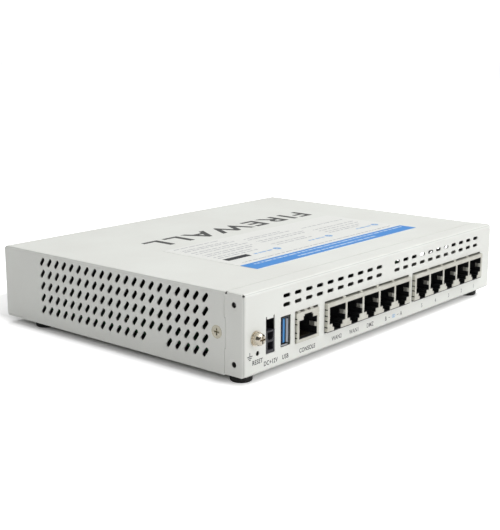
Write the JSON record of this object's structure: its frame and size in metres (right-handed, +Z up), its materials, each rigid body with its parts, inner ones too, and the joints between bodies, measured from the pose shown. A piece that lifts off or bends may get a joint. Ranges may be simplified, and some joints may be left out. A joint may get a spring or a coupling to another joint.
{
  "type": "firewall appliance",
  "caption": "Desktop network firewall in a white vented sheet-metal case on rubber feet, with rear network, console, USB and power sockets, an earth screw and a recessed reset button.",
  "frame": {"origin": "on the resting surface, under the centre of the part's bounding box", "axes": "+Z up; +Y out of the rear port panel; +X towards the reset and power end of that panel"},
  "size_m": [0.216, 0.164, 0.0406],
  "materials": {
    "case_paint": "fine white powder coat, satin",
    "foot_rubber": "matt black",
    "nickel_screw": "bright nickel",
    "zinc_steel": "zinc plated",
    "socket_shield": "satin nickel plate",
    "black_moulding": "fine matt",
    "inlet_moulding": "satin dark grey",
    "usb_blue": "satin",
    "gold_contact": "gold flash",
    "contact_wire": "dull gold over nickel",
    "board_laminate": "solder mask, semi gloss",
    "chip_epoxy": "fine matt",
    "aluminium_sink": "black anodised",
    "bare_aluminium": "satin",
    "pad_silicone": "soft matt",
    "cell_steel": "satin",
    "clear_acrylic": "clear",
    "light_body": "gloss",
    "label_film": "satin film",
    "rating_label": "satin film"
  },
  "bodies": {
    "case": {"base_chassis": "case_paint", "top_cover": "case_paint", "cover_screws": "nickel_screw", "top_label": "label_film", "bottom_label": "rating_label", "foot_front_left": "foot_rubber", "foot_front_right": "foot_rubber", "foot_rear_left": "foot_rubber", "foot_rear_right": "foot_rubber", "main_board": "board_laminate", "board_standoffs": "zinc_steel", "board_screws": "nickel_screw", "processor": "chip_epoxy", "thermal_pad": "pad_silicone", "heat_sink": "aluminium_sink", "heat_sink_pins": "black_moulding", "memory_chips": "chip_epoxy", "flash_chip": "chip_epoxy", "network_chips": "chip_epoxy", "power_inductors": "chip_epoxy", "power_capacitors": "bare_aluminium", "coin_cell_holder": "black_moulding", "coin_cell": "cell_steel", "lan_transformers": "chip_epoxy", "status_lights": "light_body", "light_pipe": "clear_acrylic", "console_shield": "socket_shield", "console_insert": "black_moulding", "console_contacts": "contact_wire", "usb_shell": "socket_shield", "usb_tongue": "usb_blue", "usb_contacts": "gold_contact", "dc_inlet_housing": "inlet_moulding", "dc_inlet_pins": "zinc_steel", "port_bank_1_shield": "socket_shield", "port_bank_1_insert": "black_moulding", "port_bank_1_contacts": "contact_wire", "port_bank_2_shield": "socket_shield", "port_bank_2_insert": "black_moulding", "port_bank_2_contacts": "contact_wire", "ground_nut": "zinc_steel", "reset_switch_body": "black_moulding"},
    "ground_washers": {"ground_washer": "nickel_screw", "ground_lock_washer": "nickel_screw"},
    "ground_screw": {"ground_screw": "nickel_screw"},
    "reset_plunger": {"reset_plunger": "black_moulding"}
  },
  "joints": [
    {"name": "ground_washer_slide", "type": "slide", "parent": "case", "child": "ground_washers", "axis": [0, 1, 0], "range_m": [0, 0.002]},
    {"name": "ground_screw_turn", "type": "hinge", "parent": "ground_washers", "child": "ground_screw", "pos_m": [0.1004, 0.08005, 0.0205], "axis": [0, 1, 0], "range_deg": [0, 1440]},
    {"name": "reset_press", "type": "slide", "parent": "case", "child": "reset_plunger", "axis": [0, -1, 0], "range_m": [0, 0.0005], "stiffness_N_per_m": 1500}
  ],
  "couplings": [
    {"joint": "ground_screw_turn", "follows": "ground_washer_slide", "rad_per_m": 12566}
  ]
}
